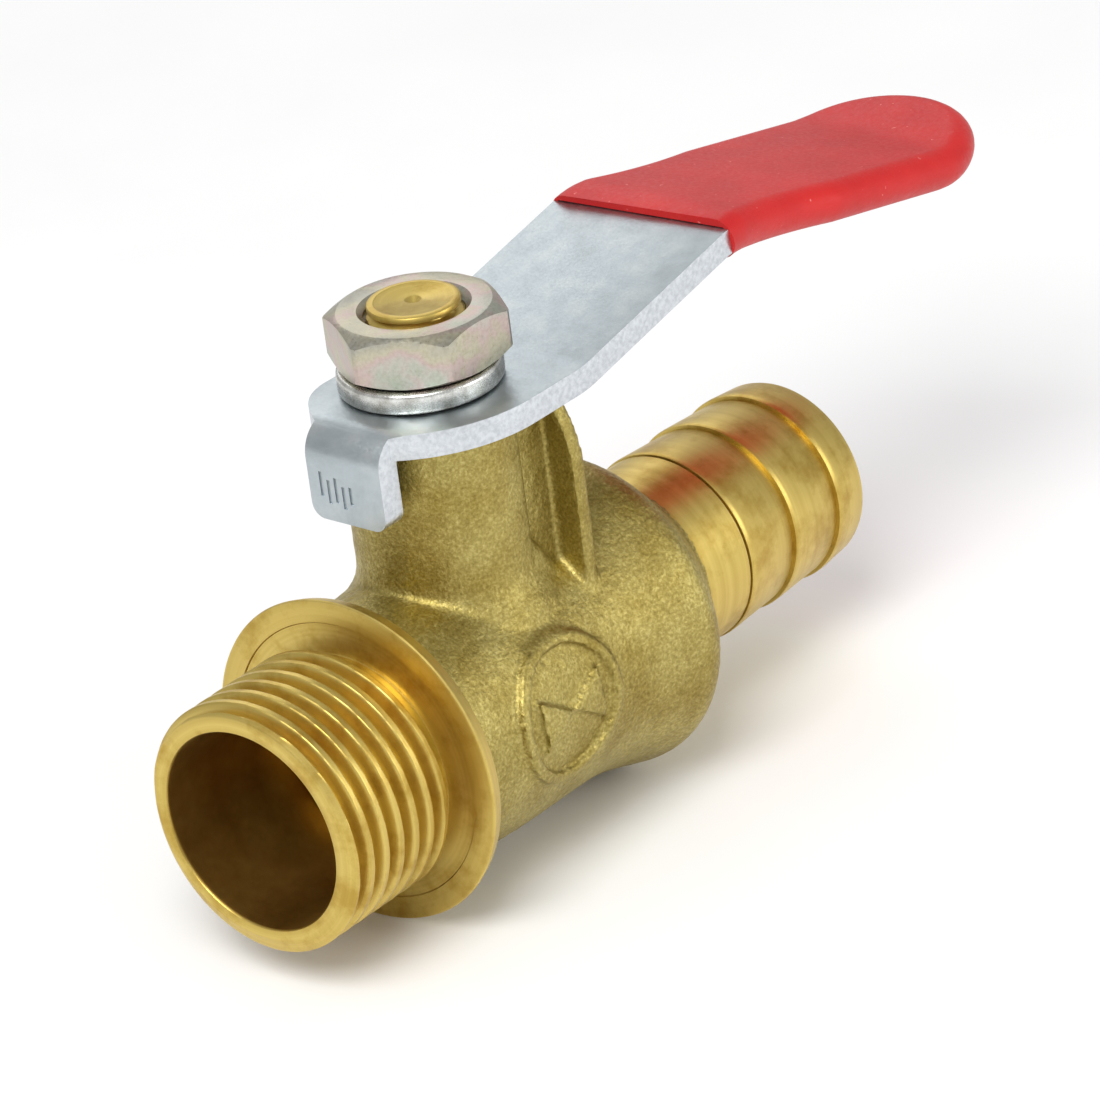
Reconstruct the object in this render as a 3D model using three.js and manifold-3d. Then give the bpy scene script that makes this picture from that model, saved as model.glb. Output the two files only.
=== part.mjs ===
// Lever-operated ball valve with a male pipe thread at one end and a hose barb at the other.
// Millimetres. Origin: centre of the flange's sealing face, on the pipe axis.
// +X runs along the pipe from the thread to the barb, +Z up along the stem.

import * as THREE from 'three';
import { mergeVertices } from 'three/addons/utils/BufferGeometryUtils.js';
import Module from 'manifold-3d';

const wasm = await Module();
wasm.setup();

// ---------------------------------------------------------------- driving dimensions

// Ball, its port and its seats
const stemX = 14;
const ballR = 8.15;
const portR = 4.8;
const slotFloorWall = 1.2;
const seatLandWidth = 1.4;
const seatBackLength = 0.45;
const retainerLength = 4;
const retainerBoreR = 5.6;
const retainerSlotWidth = 2.2;
const retainerSlotDepth = 1.4;

// Bores through the body
const inletBoreChamfer = 0.2;
const throatLength = 9;
const outletBoreR = 5.8;

// Pipe thread, G 1/2: pitch, depth, and the wall under it
const threadPitch = 1.814;
const threadDepth = 1.162;
const threadWall = 0.9055;
const threadLength = 12.97;
const threadTipDrop = 0.32;
const threadReliefLength = 1.7;
const threadReliefDrop = 0.16;

// Flange
const flangeRim = 3.2725;
const flangeRearDrop = 0.5;
const flangeThickness = 1.4;
const flangeStepWidth = 1.35;
const flangeStepDepth = 0.12;

// Barrel and the swelling behind the neck
const barrelWall = 3.21;
const barrelRootDrop = 0.45;
const barrelFullX = 10;
const barrelBlend = 2;
const swellingRiseX = 21.4;
const swellingRiseBlend = 3;
const swellingCrestX = 29.3;
const swellingHeight = 2.18;
const swellingCrestBlend = 1.6;
const swellingFallBlend = 0.4;

// Hose barb
const barbWall = 2.4;
const barbFirstTooth = 40.63;
const barbTeeth = 3;
const barbToothRise = 0.15;
const barbToothDrop = 0.15;
const barbTipLength = 3.91;
const barbTipChamfer = 0.4;
const barbEnd = 56.43;

// Neck and its web
const neckR = 7.3;
const neckTopZ = 24.3;
const neckWall = 1.4;
const neckLedgeWall = 3.59;
const neckFootStep = 1.4;
const neckFootLift = 1.6;
const neckFootHeight = 1.8;
const webInset = 0.3;

// Stops that the lever's tab meets
const stopPlateOffset = 6;
const stopPlateThickness = 1.4;
const stopPlateCatch = 0.15;
const stopPlateCornerDrop = 5.7;
const stopPlateCornerInset = 2.25;
const openStopThickness = 1.1;
const openStopReach = 9;
const openStopHeight = 3.3;
const openStopDrop = 0.4;

// Stem and its seals, upwards from the ball
const stemThreadR = 3.95;
const stemShoulder = 0.45;
const stemFlatsDepth = 1.1;
const stemProud = 0.55;
const stemTopChamfer = 0.35;
const tangThickness = 3;
const tangShoulder = 1.1;
const spindleLift = 0.57;
const thrustWasherThickness = 0.6;
const ringGrooveWidth = 1.5;
const ringGrooveLifts = [3.1, 5.1];
const ringSectionR = 0.66;
const sealLandHeight = 6.2;
const glandSlotWidth = 1.6;
const glandSlotDepth = 1.2;

// Lever strip, in its own frame: its origin is on the stem's axis
const leverThickness = 2.1;
const leverLift = 0.4;
const leverHalfWidth = 8.56;
const leverSideOffset = 1.5;
const leverYawDegrees = -1.67;
const leverEnd = 62.68;
const headReach = 9.2;
const headCornerR = 11.9;
const headCornerX = 1;
const headLeftCurveStart = -3.8;
const headLeftCurveBend = -7;
const tabLeft = 3.4;
const tabRight = -4.2;
const tabClearance = 1.4;
const tabDrop = 7.7;
const tabCornerR = 1.2;
const tabBendInnerR = 0.5;
const riseSlope = 0.21;
const riseEase = 1;
const gripBend = 26.9;
const gripSlope = -0.205;
const gripEase = 1.6;
const tipBend = 55;
const tipSlope = 0.08;
const tipEase = 1.6;

// Grip sleeve and the paddle that it covers
const gripStart = 27.3;
const gripWaistX = 33;
const gripWaistBend = 1.26;
const gripPalmX = 40;
const gripPalmInset = 0.26;
const gripTipLength = 9.1;
const sleeveWall = 0.55;
const sleeveSideWall = 0.3;

// Spring washer and nut
const washerWireWidth = 2.25;
const washerThickness = 1.9;
const washerShift = -0.3;
const washerSplit = 0.7;
const washerSplitDegrees = 50;
const nutAcrossFlats = 13;
const nutHeight = 4.45;
const nutCornerLoss = 0.15;
const nutFaceInset = 0.25;
const nutChamferDegrees = 30;
const nutCountersink = 0.5;
const nutTurnDegrees = 58;

// Clearances
const ballGap = 0.26;
const seatGap = 0.1;
const portLead = 0.3;
const throatLead = 0.2;
const runningGap = 0.12;
const tangGap = 0.2;
const stackGap = 0.05;
const threadGap = 0.1;
const stopGap = 0.15;
const glandGap = 0.4;
const glandRecess = 0.2;
const washerGap = 0.4;
const riseGap = 0.1;
const sleeveGap = 0.12;

// Facets, and how far a cutting solid runs past what it cuts
const pipeFacets = 40;
const smallFacets = 32;
const nutFacets = 48;
const overrun = 1;

// ---------------------------------------------------------------- sizes that follow

const inletBoreR = ballR + ballGap;
const throatR = portR + throatLead;
const seatBackOffset = ballR + seatBackLength;
const shoulderX = stemX + seatBackOffset;
const throatEnd = shoulderX + throatLength;

const threadMinorR = inletBoreR + threadWall;
const threadMajorR = threadMinorR + threadDepth;
const flangeR = threadMajorR + flangeRim;
const barrelR = inletBoreR + barrelWall;
const barbShankR = outletBoreR + barbWall;

const neckLedgeZ = inletBoreR + neckLedgeWall;
const neckBoreR = neckR - neckWall;
const webHalfWidth = neckR - webInset;
const neckFootR = neckR + neckFootStep;

const spindleR = stemThreadR + stemShoulder;
const stemFlatsHalfWidth = stemThreadR - stemFlatsDepth;
const slotFloorZ = portR + slotFloorWall;
const slotWidth = tangThickness + 2 * tangGap;
const tangWidth = 2 * (spindleR - tangShoulder);
const collarBottomZ = neckLedgeZ + thrustWasherThickness + 2 * stackGap;
const sealLandTopZ = neckLedgeZ + sealLandHeight;
const landR = neckBoreR - runningGap;
const ringCentreR = neckBoreR - ringSectionR - stackGap;
const grooveR = ringCentreR - ringSectionR - stackGap;

const leverBottomZ = neckTopZ + leverLift;
const leverTopZ = leverBottomZ + leverThickness;
const leverLeft = leverHalfWidth - leverSideOffset;
const leverRight = -leverHalfWidth - leverSideOffset;
const tabFaceReach = neckR + tabClearance + leverThickness;
const tabBottomZ = leverTopZ - tabDrop;
const tabBendOuterR = tabBendInnerR + leverThickness;
const tabBendZ = leverTopZ - tabBendOuterR;
const stopPlateHalfWidth = neckR + tabClearance + stopPlateCatch;

const washerBoreR = stemThreadR + washerGap;
const washerOuterR = washerBoreR + washerWireWidth;
const riseStart = washerOuterR + washerShift + riseGap + riseEase;
const washerBottomZ = leverTopZ + stackGap;
const nutBottomZ = washerBottomZ + washerThickness + stackGap;
const nutTopZ = nutBottomZ + nutHeight;
const stemTopZ = nutTopZ + stemProud;

// ---------------------------------------------------------------- helpers

function toSolid(geometry) {
  const bare = geometry.clone();
  bare.deleteAttribute('normal');
  bare.deleteAttribute('uv');
  const merged = mergeVertices(bare, 1e-5);
  const triVerts = new Uint32Array(merged.index.array);
  const vertProperties = new Float32Array(merged.attributes.position.array);
  return new wasm.Manifold(new wasm.Mesh({ numProp: 3, vertProperties, triVerts }));
}

function toMesh(name, solid, material) {
  const mesh = solid.getMesh();
  const geometry = new THREE.BufferGeometry();
  geometry.setAttribute('position', new THREE.BufferAttribute(mesh.vertProperties, 3));
  geometry.setIndex(new THREE.BufferAttribute(mesh.triVerts, 1));
  geometry.computeVertexNormals();
  const node = new THREE.Mesh(geometry, material);
  node.name = name;
  return node;
}

function metal(color, roughness) {
  return new THREE.MeshStandardMaterial({ color, roughness, metalness: 1 });
}

function plastic(color, roughness) {
  return new THREE.MeshStandardMaterial({ color, roughness, metalness: 0 });
}

// A lathe of a list of [place along the axis, radius], closed onto the axis at both ends.
function lathe(profile, facets) {
  const points = profile.map(([along, r]) => new THREE.Vector2(r, along));
  points.unshift(new THREE.Vector2(0, points[0].y));
  points.push(new THREE.Vector2(0, points[points.length - 1].y));
  return new THREE.LatheGeometry(points, facets);
}

// A solid of revolution about the pipe axis, from low X to high X.
function turnedAlongX(profile, facets = pipeFacets) {
  return toSolid(lathe(profile, facets).rotateZ(-Math.PI / 2));
}

// A solid of revolution about the stem's axis, upwards.
function turnedOnStem(profile, facets = smallFacets) {
  return toSolid(lathe(profile, facets).rotateX(Math.PI / 2).translate(stemX, 0, 0));
}

// A box given by its lowest and highest corners.
function block(low, high) {
  const geometry = new THREE.BoxGeometry(high[0] - low[0], high[1] - low[1], high[2] - low[2]);
  geometry.translate((low[0] + high[0]) / 2, (low[1] + high[1]) / 2, (low[2] + high[2]) / 2);
  return toSolid(geometry);
}

function extruded(shape, depth, curveSegments) {
  return new THREE.ExtrudeGeometry(shape, { depth, bevelEnabled: false, curveSegments });
}

// A plan outline in X and Y, raised from one height to another.
function raised(shape, lowZ, highZ, curveSegments) {
  return toSolid(extruded(shape, highZ - lowZ, curveSegments).translate(0, 0, lowZ));
}

// A side outline in X and Z, carried from -halfWidth to +halfWidth along Y.
function carriedAcross(shape, halfWidth, curveSegments) {
  const geometry = extruded(shape, 2 * halfWidth, curveSegments);
  return toSolid(geometry.rotateX(Math.PI / 2).translate(0, halfWidth, 0));
}

// An end outline in Y and Z, carried along X from one place to another.
function carriedAlong(shape, lowX, highX, curveSegments) {
  const geometry = extruded(shape, highX - lowX, curveSegments);
  return toSolid(geometry.rotateX(Math.PI / 2).rotateZ(Math.PI / 2).translate(lowX, 0, 0));
}

// A profile of [x, radius, blend] with each inner corner curved over its blend length.
function softened(corners, divisions) {
  const places = corners.map(([x, r]) => new THREE.Vector2(x, r));
  const path = new THREE.Path();
  path.moveTo(places[0].x, places[0].y);
  for (let i = 1; i < corners.length - 1; i += 1) {
    const here = places[i];
    const blend = corners[i][2];
    const into = here.clone().add(places[i - 1].clone().sub(here).setLength(blend));
    const away = here.clone().add(places[i + 1].clone().sub(here).setLength(blend));
    path.lineTo(into.x, into.y);
    path.quadraticCurveTo(here.x, here.y, away.x, away.y);
  }
  const last = places[places.length - 1];
  path.lineTo(last.x, last.y);
  return path.getPoints(divisions).map((point) => [point.x, point.y]);
}

// From the lever's own frame to its resting place.
function turnToStem(solid) {
  return solid.rotate([0, 0, leverYawDegrees]).translate([stemX, 0, 0]);
}

// ---------------------------------------------------------------- valve body

// The ridges are plain rings, with flat crests a quarter of the pitch wide and sharp roots.
function threadProfile() {
  const threadEnd = -threadReliefLength;
  const crestHalf = threadPitch / 8;
  const turns = Math.floor((threadLength - threadReliefLength - crestHalf) / threadPitch);
  const firstCrest = threadEnd - turns * threadPitch;
  const profile = [
    [-threadLength, threadMajorR - threadTipDrop],
    [firstCrest - crestHalf, threadMajorR],
  ];
  for (let turn = 0; turn < turns; turn += 1) {
    const crest = firstCrest + turn * threadPitch;
    profile.push([crest + crestHalf, threadMajorR]);
    profile.push([crest + threadPitch / 2, threadMinorR]);
    profile.push([crest + threadPitch - crestHalf, threadMajorR]);
  }
  profile.push([threadEnd + crestHalf, threadMajorR]);
  profile.push([threadEnd + threadPitch / 2, threadMinorR - threadReliefDrop]);
  profile.push([flangeStepDepth, threadMinorR - threadReliefDrop]);
  return profile;
}

function barrelProfile() {
  const crestR = barrelR + swellingHeight;
  const shankX = swellingCrestX + crestR - barbShankR;
  const corners = [
    [flangeThickness, barrelR - barrelRootDrop, 0],
    [barrelFullX, barrelR, barrelBlend],
    [swellingRiseX, barrelR, swellingRiseBlend],
    [swellingCrestX, crestR, swellingCrestBlend],
    [shankX, barbShankR, swellingFallBlend],
    [barbFirstTooth, barbShankR, 0],
  ];
  return softened(corners, 4);
}

// Each tooth is highest at its edge towards the valve, and falls away towards the tip.
function barbProfile() {
  const crestR = barbShankR + barbToothRise;
  const valleyR = barbShankR - barbToothDrop;
  const pitch = (barbEnd - barbTipLength - barbFirstTooth) / (barbTeeth - 1);
  const profile = [];
  for (let tooth = 0; tooth < barbTeeth; tooth += 1) {
    const edge = barbFirstTooth + pitch * tooth;
    const lastTooth = tooth === barbTeeth - 1;
    profile.push([edge, crestR]);
    profile.push([lastTooth ? barbEnd - barbTipChamfer : edge + pitch, valleyR]);
  }
  profile.push([barbEnd, valleyR - barbTipChamfer]);
  return profile;
}

// The flange's face is cut back a little around the thread, so a washer seals on its outer ring.
function bodyOuter() {
  return turnedAlongX([
    ...threadProfile(),
    [flangeStepDepth, threadMajorR + flangeStepWidth],
    [0, threadMajorR + flangeStepWidth],
    [0, flangeR],
    [flangeThickness, flangeR - flangeRearDrop],
    ...barrelProfile(),
    ...barbProfile(),
  ]);
}

function bodyBore() {
  return turnedAlongX([
    [-threadLength - overrun, inletBoreR + inletBoreChamfer + overrun],
    [-threadLength + inletBoreChamfer, inletBoreR],
    [shoulderX, inletBoreR],
    [shoulderX, throatR],
    [throatEnd, throatR],
    [throatEnd + Math.abs(outletBoreR - throatR), outletBoreR],
    [barbEnd + overrun, outletBoreR],
  ]);
}

// Plan of the neck: round towards the thread, flat-sided back to the stop plate.
function neckShape() {
  const tangentX = Math.sqrt(neckR ** 2 - webHalfWidth ** 2);
  const angle = Math.atan2(webHalfWidth, tangentX);
  const backX = stemX + stopPlateOffset + stopPlateThickness / 2;
  const shape = new THREE.Shape();
  shape.moveTo(backX, webHalfWidth);
  shape.lineTo(stemX + tangentX, webHalfWidth);
  shape.absarc(stemX, 0, neckR, angle, 2 * Math.PI - angle, false);
  shape.lineTo(backX, -webHalfWidth);
  shape.closePath();
  return shape;
}

// The stop plate stands square to the pipe; its top corners lean in towards the neck.
function stopPlate() {
  const half = stopPlateHalfWidth;
  const topHalf = stopPlateHalfWidth - stopPlateCornerInset;
  const cornerZ = neckTopZ - stopPlateCornerDrop;
  const bendZ = neckTopZ - stopPlateCornerInset;
  const shape = new THREE.Shape();
  shape.moveTo(-half, 0);
  shape.lineTo(-half, cornerZ);
  shape.quadraticCurveTo(-half, bendZ, -topHalf, neckTopZ);
  shape.lineTo(topHalf, neckTopZ);
  shape.quadraticCurveTo(half, bendZ, half, cornerZ);
  shape.lineTo(half, 0);
  shape.closePath();
  const frontX = stemX + stopPlateOffset;
  return carriedAlong(shape, frontX, frontX + stopPlateThickness, 6);
}

// The open stop lies along the tab's edge, so it is turned with the lever's resting angle.
function openStop() {
  const side = tabLeft + stopGap;
  const topZ = neckTopZ - openStopDrop;
  const low = [-openStopReach, side, topZ - openStopHeight];
  const high = [0, side + openStopThickness, topZ];
  return turnToStem(block(low, high));
}

function neckFoot() {
  const baseZ = Math.sqrt(barrelR ** 2 - neckFootR ** 2) + neckFootLift;
  return turnedOnStem([
    [0, neckFootR],
    [baseZ, neckFootR],
    [baseZ + neckFootHeight, neckR],
  ]);
}

function neckBore() {
  return turnedOnStem([
    [0, spindleR + runningGap],
    [neckLedgeZ, spindleR + runningGap],
    [neckLedgeZ, neckBoreR],
    [neckTopZ + overrun, neckBoreR],
  ]);
}

function valveBody() {
  return bodyOuter()
    .add(raised(neckShape(), 0, neckTopZ, 16))
    .add(neckFoot())
    .add(stopPlate())
    .add(openStop())
    .subtract(bodyBore())
    .subtract(neckBore());
}

// ---------------------------------------------------------------- ball, seats and retainer

function ballBlank(radius) {
  const geometry = new THREE.SphereGeometry(radius, pipeFacets, pipeFacets / 2);
  return toSolid(geometry.rotateX(Math.PI / 2).translate(stemX, 0, 0));
}

// A ring on the pipe axis.
function ringOnPipe(innerR, outerR, lowX, highX) {
  const ring = turnedAlongX([[lowX, outerR], [highX, outerR]]);
  return ring.subtract(turnedAlongX([[lowX - overrun, innerR], [highX + overrun, innerR]]));
}

// The port runs along the pipe when the valve is open, and the slot runs across it.
function ball() {
  const past = ballR + overrun;
  const port = turnedAlongX([[stemX - past, portR], [stemX + past, portR]], smallFacets);
  const slotLow = [stemX - slotWidth / 2, -past, slotFloorZ];
  const slotHigh = [stemX + slotWidth / 2, past, past];
  return ballBlank(ballR).subtract(port).subtract(block(slotLow, slotHigh));
}

// Direction is -1 for the seat towards the thread and +1 for the one towards the barb.
function seatRing(direction) {
  const innerR = portR + portLead;
  const landOuterR = innerR + seatLandWidth;
  const faceX = stemX + direction * Math.sqrt(ballR ** 2 - landOuterR ** 2);
  const backX = stemX + direction * (seatBackOffset - stackGap);
  const ring = ringOnPipe(innerR, inletBoreR - seatGap, Math.min(faceX, backX), Math.max(faceX, backX));
  return ring.subtract(ballBlank(ballR + seatGap));
}

function seatRetainer() {
  const backX = stemX - seatBackOffset;
  const frontX = backX - retainerLength;
  const slotLow = [frontX - overrun, -inletBoreR, -retainerSlotWidth / 2];
  const slotHigh = [frontX + retainerSlotDepth, inletBoreR, retainerSlotWidth / 2];
  return ringOnPipe(retainerBoreR, inletBoreR - threadGap, frontX, backX)
    .subtract(block(slotLow, slotHigh));
}

// ---------------------------------------------------------------- stem and its seals

// A ring on the stem's axis.
function ringOnStem(innerR, outerR, lowZ, highZ) {
  const ring = turnedOnStem([[lowZ, outerR], [highZ, outerR]]);
  return ring.subtract(turnedOnStem([[lowZ - overrun, innerR], [highZ + overrun, innerR]]));
}

function stem() {
  const shoulderZ = leverBottomZ - stackGap;
  const profile = [
    [ballR + spindleLift, spindleR],
    [collarBottomZ, spindleR],
    [collarBottomZ, landR],
  ];
  for (const lift of ringGrooveLifts) {
    const lowZ = neckLedgeZ + lift - ringGrooveWidth / 2;
    const highZ = lowZ + ringGrooveWidth;
    profile.push([lowZ, landR], [lowZ, grooveR], [highZ, grooveR], [highZ, landR]);
  }
  profile.push(
    [sealLandTopZ, landR],
    [sealLandTopZ, spindleR],
    [shoulderZ, spindleR],
    [shoulderZ, stemThreadR],
    [stemTopZ - stemTopChamfer, stemThreadR],
    [stemTopZ, stemThreadR - stemTopChamfer],
  );
  const tangLow = [stemX - tangThickness / 2, -tangWidth / 2, slotFloorZ + runningGap];
  const tangHigh = [stemX + tangThickness / 2, tangWidth / 2, collarBottomZ];
  const past = spindleR + overrun;
  const flat = block([stemX - past, stemFlatsHalfWidth, shoulderZ], [stemX + past, past, leverTopZ]);
  return turnedOnStem(profile)
    .add(block(tangLow, tangHigh))
    .subtract(flat)
    .subtract(flat.mirror([0, 1, 0]));
}

function stemORing(lift) {
  const geometry = new THREE.TorusGeometry(ringCentreR, ringSectionR, 8, smallFacets);
  return toSolid(geometry.translate(stemX, 0, neckLedgeZ + lift));
}

function thrustWasher() {
  const lowZ = neckLedgeZ + stackGap;
  return ringOnStem(spindleR + runningGap, landR, lowZ, lowZ + thrustWasherThickness);
}

function glandBush() {
  const lowZ = sealLandTopZ + glandGap;
  const highZ = neckTopZ - glandRecess;
  const slotLow = [stemX - neckBoreR, -glandSlotWidth / 2, highZ - glandSlotDepth];
  const slotHigh = [stemX + neckBoreR, glandSlotWidth / 2, highZ + overrun];
  return ringOnStem(spindleR + runningGap, neckBoreR - threadGap, lowZ, highZ)
    .subtract(block(slotLow, slotHigh));
}

// ---------------------------------------------------------------- lever and grip

// The strip's bends: where each one is, how much the slope changes there, and over what distance.
const stripBends = [
  { at: riseStart, turn: riseSlope, ease: riseEase },
  { at: gripBend, turn: gripSlope - riseSlope, ease: gripEase },
  { at: tipBend, turn: tipSlope - gripSlope, ease: tipEase },
];

// Height of the strip's middle surface above the head's, at a distance from the stem.
function stripRise(distance) {
  let rise = 0;
  for (const { at, turn, ease } of stripBends) {
    const past = distance - at;
    if (past >= ease) rise += past * turn;
    else if (past > -ease) rise += ((past + ease) ** 2 / (4 * ease)) * turn;
  }
  return rise;
}

// Side outline of the arm between two distances, a half thickness about its middle surface.
function armSide(from, to, halfThickness) {
  const bends = stripBends.flatMap(({ at, ease }) =>
    [-1, -0.5, 0, 0.5, 1].map((share) => at + share * ease),
  );
  const inside = bends.filter((distance) => distance > from && distance < to);
  const middleZ = leverTopZ - leverThickness / 2;
  const probe = 0.01;
  const edge = (side) =>
    [from, ...inside, to].map((distance) => {
      const slope = (stripRise(distance + probe) - stripRise(distance - probe)) / (2 * probe);
      const angle = Math.atan(slope);
      const x = distance - Math.sin(angle) * halfThickness * side;
      const z = middleZ + stripRise(distance) + Math.cos(angle) * halfThickness * side;
      return new THREE.Vector2(x, z);
    });
  return new THREE.Shape([...edge(1), ...edge(-1).reverse()]);
}

// Side outline of the head: flat over the neck, then bent down into the tab.
function headSide() {
  const bendX = -tabFaceReach + tabBendOuterR;
  const shape = new THREE.Shape();
  shape.moveTo(overrun, leverBottomZ);
  shape.lineTo(overrun, leverTopZ);
  shape.lineTo(bendX, leverTopZ);
  shape.absarc(bendX, tabBendZ, tabBendOuterR, Math.PI / 2, Math.PI, false);
  shape.lineTo(-tabFaceReach, tabBottomZ);
  shape.lineTo(-tabFaceReach + leverThickness, tabBottomZ);
  shape.lineTo(-tabFaceReach + leverThickness, tabBendZ);
  shape.absarc(bendX, tabBendZ, tabBendInnerR, Math.PI, Math.PI / 2, true);
  shape.closePath();
  return shape;
}

// Plan of the head and the arm: a wide round right corner, a tighter left one, the tab between.
function headPlan() {
  const arcY = leverRight + headCornerR;
  const arcStart = Math.PI + Math.asin((arcY - tabRight) / headCornerR);
  const tabX = -tabFaceReach - overrun;
  const shape = new THREE.Shape();
  shape.moveTo(tabX, tabLeft);
  shape.lineTo(tabX, tabRight);
  shape.absarc(headCornerX, arcY, headCornerR, arcStart, 1.5 * Math.PI, false);
  shape.lineTo(gripStart, leverRight);
  shape.lineTo(gripStart, leverLeft);
  shape.lineTo(headLeftCurveStart, leverLeft);
  shape.quadraticCurveTo(headLeftCurveBend, leverLeft, -headReach, tabLeft);
  shape.closePath();
  return shape;
}

// Plan of the paddle under the sleeve: a waist near its front and a round end, grown all round.
function paddlePlan(grow) {
  const frontX = gripStart - sleeveWall - overrun;
  const tipX = leverEnd - gripTipLength;
  const front = leverHalfWidth + grow;
  const waistBend = front - gripWaistBend;
  const palm = front - gripPalmInset;
  const middle = -leverSideOffset;
  const shape = new THREE.Shape();
  shape.moveTo(frontX, middle - front);
  shape.lineTo(gripStart, middle - front);
  shape.quadraticCurveTo(gripWaistX, middle - waistBend, gripPalmX, middle - palm);
  shape.lineTo(tipX, middle - palm);
  shape.absellipse(tipX, middle, gripTipLength + grow, palm, -Math.PI / 2, Math.PI / 2, false, 0);
  shape.lineTo(gripPalmX, middle + palm);
  shape.quadraticCurveTo(gripWaistX, middle + waistBend, gripStart, middle + front);
  shape.lineTo(frontX, middle + front);
  shape.closePath();
  return shape;
}

function tabOutline() {
  const shape = new THREE.Shape();
  shape.moveTo(tabRight, tabBottomZ + tabCornerR);
  shape.quadraticCurveTo(tabRight, tabBottomZ, tabRight + tabCornerR, tabBottomZ);
  shape.lineTo(tabLeft - tabCornerR, tabBottomZ);
  shape.quadraticCurveTo(tabLeft, tabBottomZ, tabLeft, tabBottomZ + tabCornerR);
  shape.lineTo(tabLeft, leverTopZ);
  shape.lineTo(tabRight, leverTopZ);
  shape.closePath();
  return shape;
}

function leverHole() {
  const reach = stemThreadR + overrun;
  const across = stemFlatsHalfWidth + runningGap;
  const low = [stemX - reach, -across, leverBottomZ - overrun];
  const high = [stemX + reach, across, leverTopZ + overrun];
  return turnedOnStem([
    [low[2], stemThreadR + runningGap],
    [high[2], stemThreadR + runningGap],
  ]).intersect(block(low, high));
}

function lever() {
  const lowZ = tabBottomZ - overrun;
  const highZ = leverTopZ + leverEnd;
  const reach = 2 * leverHalfWidth;
  const plan = raised(headPlan(), lowZ, highZ, 12).add(raised(paddlePlan(0), lowZ, highZ, 10));
  const arm = carriedAcross(armSide(0, leverEnd + overrun, leverThickness / 2), reach, 1);
  const strip = arm.add(carriedAcross(headSide(), reach, 6)).intersect(plan);
  const tabBackX = -tabFaceReach + leverThickness + stackGap;
  const tabFrontX = -tabFaceReach - overrun;
  const squareTab = block([tabFrontX, -reach, lowZ], [tabBackX, reach, tabBendZ]);
  const roundTab = carriedAlong(tabOutline(), tabFrontX - overrun, tabBackX + overrun, 5);
  return turnToStem(strip.subtract(squareTab.subtract(roundTab))).subtract(leverHole());
}

function leverGrip() {
  const lowZ = leverTopZ - leverEnd;
  const highZ = leverTopZ + leverEnd;
  const reach = 2 * leverHalfWidth;
  const pocketHalf = leverThickness / 2 + sleeveGap;
  const grow = sleeveGap + sleeveSideWall;
  const outerSide = armSide(gripStart, leverEnd + 2 * overrun, pocketHalf + sleeveWall);
  const pocketSide = armSide(gripStart - overrun, leverEnd + 2 * overrun, pocketHalf);
  const outer = carriedAcross(outerSide, reach, 1).intersect(raised(paddlePlan(grow), lowZ, highZ, 10));
  const pocket = carriedAcross(pocketSide, reach, 1).intersect(
    raised(paddlePlan(sleeveGap), lowZ, highZ, 10),
  );
  return turnToStem(outer.subtract(pocket));
}

// ---------------------------------------------------------------- spring washer and nut

// The washer sits a little to one side, as its bore is loose on the stem.
function springWasher() {
  const highZ = washerBottomZ + washerThickness;
  const splitLow = [0, -washerSplit / 2, washerBottomZ - overrun];
  const splitHigh = [washerOuterR + overrun, washerSplit / 2, highZ + overrun];
  const split = block(splitLow, splitHigh)
    .rotate([0, 0, washerSplitDegrees])
    .translate([stemX, 0, 0]);
  return ringOnStem(washerBoreR, washerOuterR, washerBottomZ, highZ)
    .subtract(split)
    .translate([washerShift, 0, 0]);
}

function leverNut() {
  const sharpR = nutAcrossFlats / Math.sqrt(3);
  const cornerR = sharpR - nutCornerLoss;
  const faceR = nutAcrossFlats / 2 - nutFaceInset;
  const chamfer = (cornerR - faceR) * Math.tan(THREE.MathUtils.degToRad(nutChamferDegrees));
  const hexagon = new THREE.CylinderGeometry(sharpR, sharpR, nutHeight, 6)
    .rotateX(Math.PI / 2)
    .rotateZ(THREE.MathUtils.degToRad(nutTurnDegrees + 30))
    .translate(stemX, 0, nutBottomZ + nutHeight / 2);
  const turned = turnedOnStem(
    [
      [nutBottomZ, faceR],
      [nutBottomZ + chamfer, cornerR],
      [nutTopZ - chamfer, cornerR],
      [nutTopZ, faceR],
    ],
    nutFacets,
  );
  const boreR = stemThreadR + threadGap;
  const hole = turnedOnStem([
    [nutBottomZ - overrun, boreR],
    [nutTopZ - nutCountersink, boreR],
    [nutTopZ + overrun, boreR + nutCountersink + overrun],
  ]);
  return toSolid(hexagon).intersect(turned).subtract(hole);
}

// ---------------------------------------------------------------- assembly

const castBrass = metal(0xa8924a, 0.5);
const turnedBrass = metal(0xc2a24c, 0.35);
const chromedBrass = metal(0xd0d2d4, 0.15);
const zincStrip = metal(0xb9c2c8, 0.4);
const zincNut = metal(0xc4bfae, 0.35);
const springSteel = metal(0xb5b3a8, 0.3);
const seatPlastic = plastic(0xf2f0ea, 0.5);
const blackRubber = plastic(0x151515, 0.7);
const redVinyl = plastic(0xc02c2a, 0.4);

// The pieces that stay still
const fixedBody = new THREE.Group();
fixedBody.add(toMesh('valve_body', valveBody(), castBrass));
fixedBody.add(toMesh('seat_retainer', seatRetainer(), turnedBrass));
fixedBody.add(toMesh('inlet_seat', seatRing(-1), seatPlastic));
fixedBody.add(toMesh('outlet_seat', seatRing(1), seatPlastic));
fixedBody.add(toMesh('gland_bush', glandBush(), turnedBrass));

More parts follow.
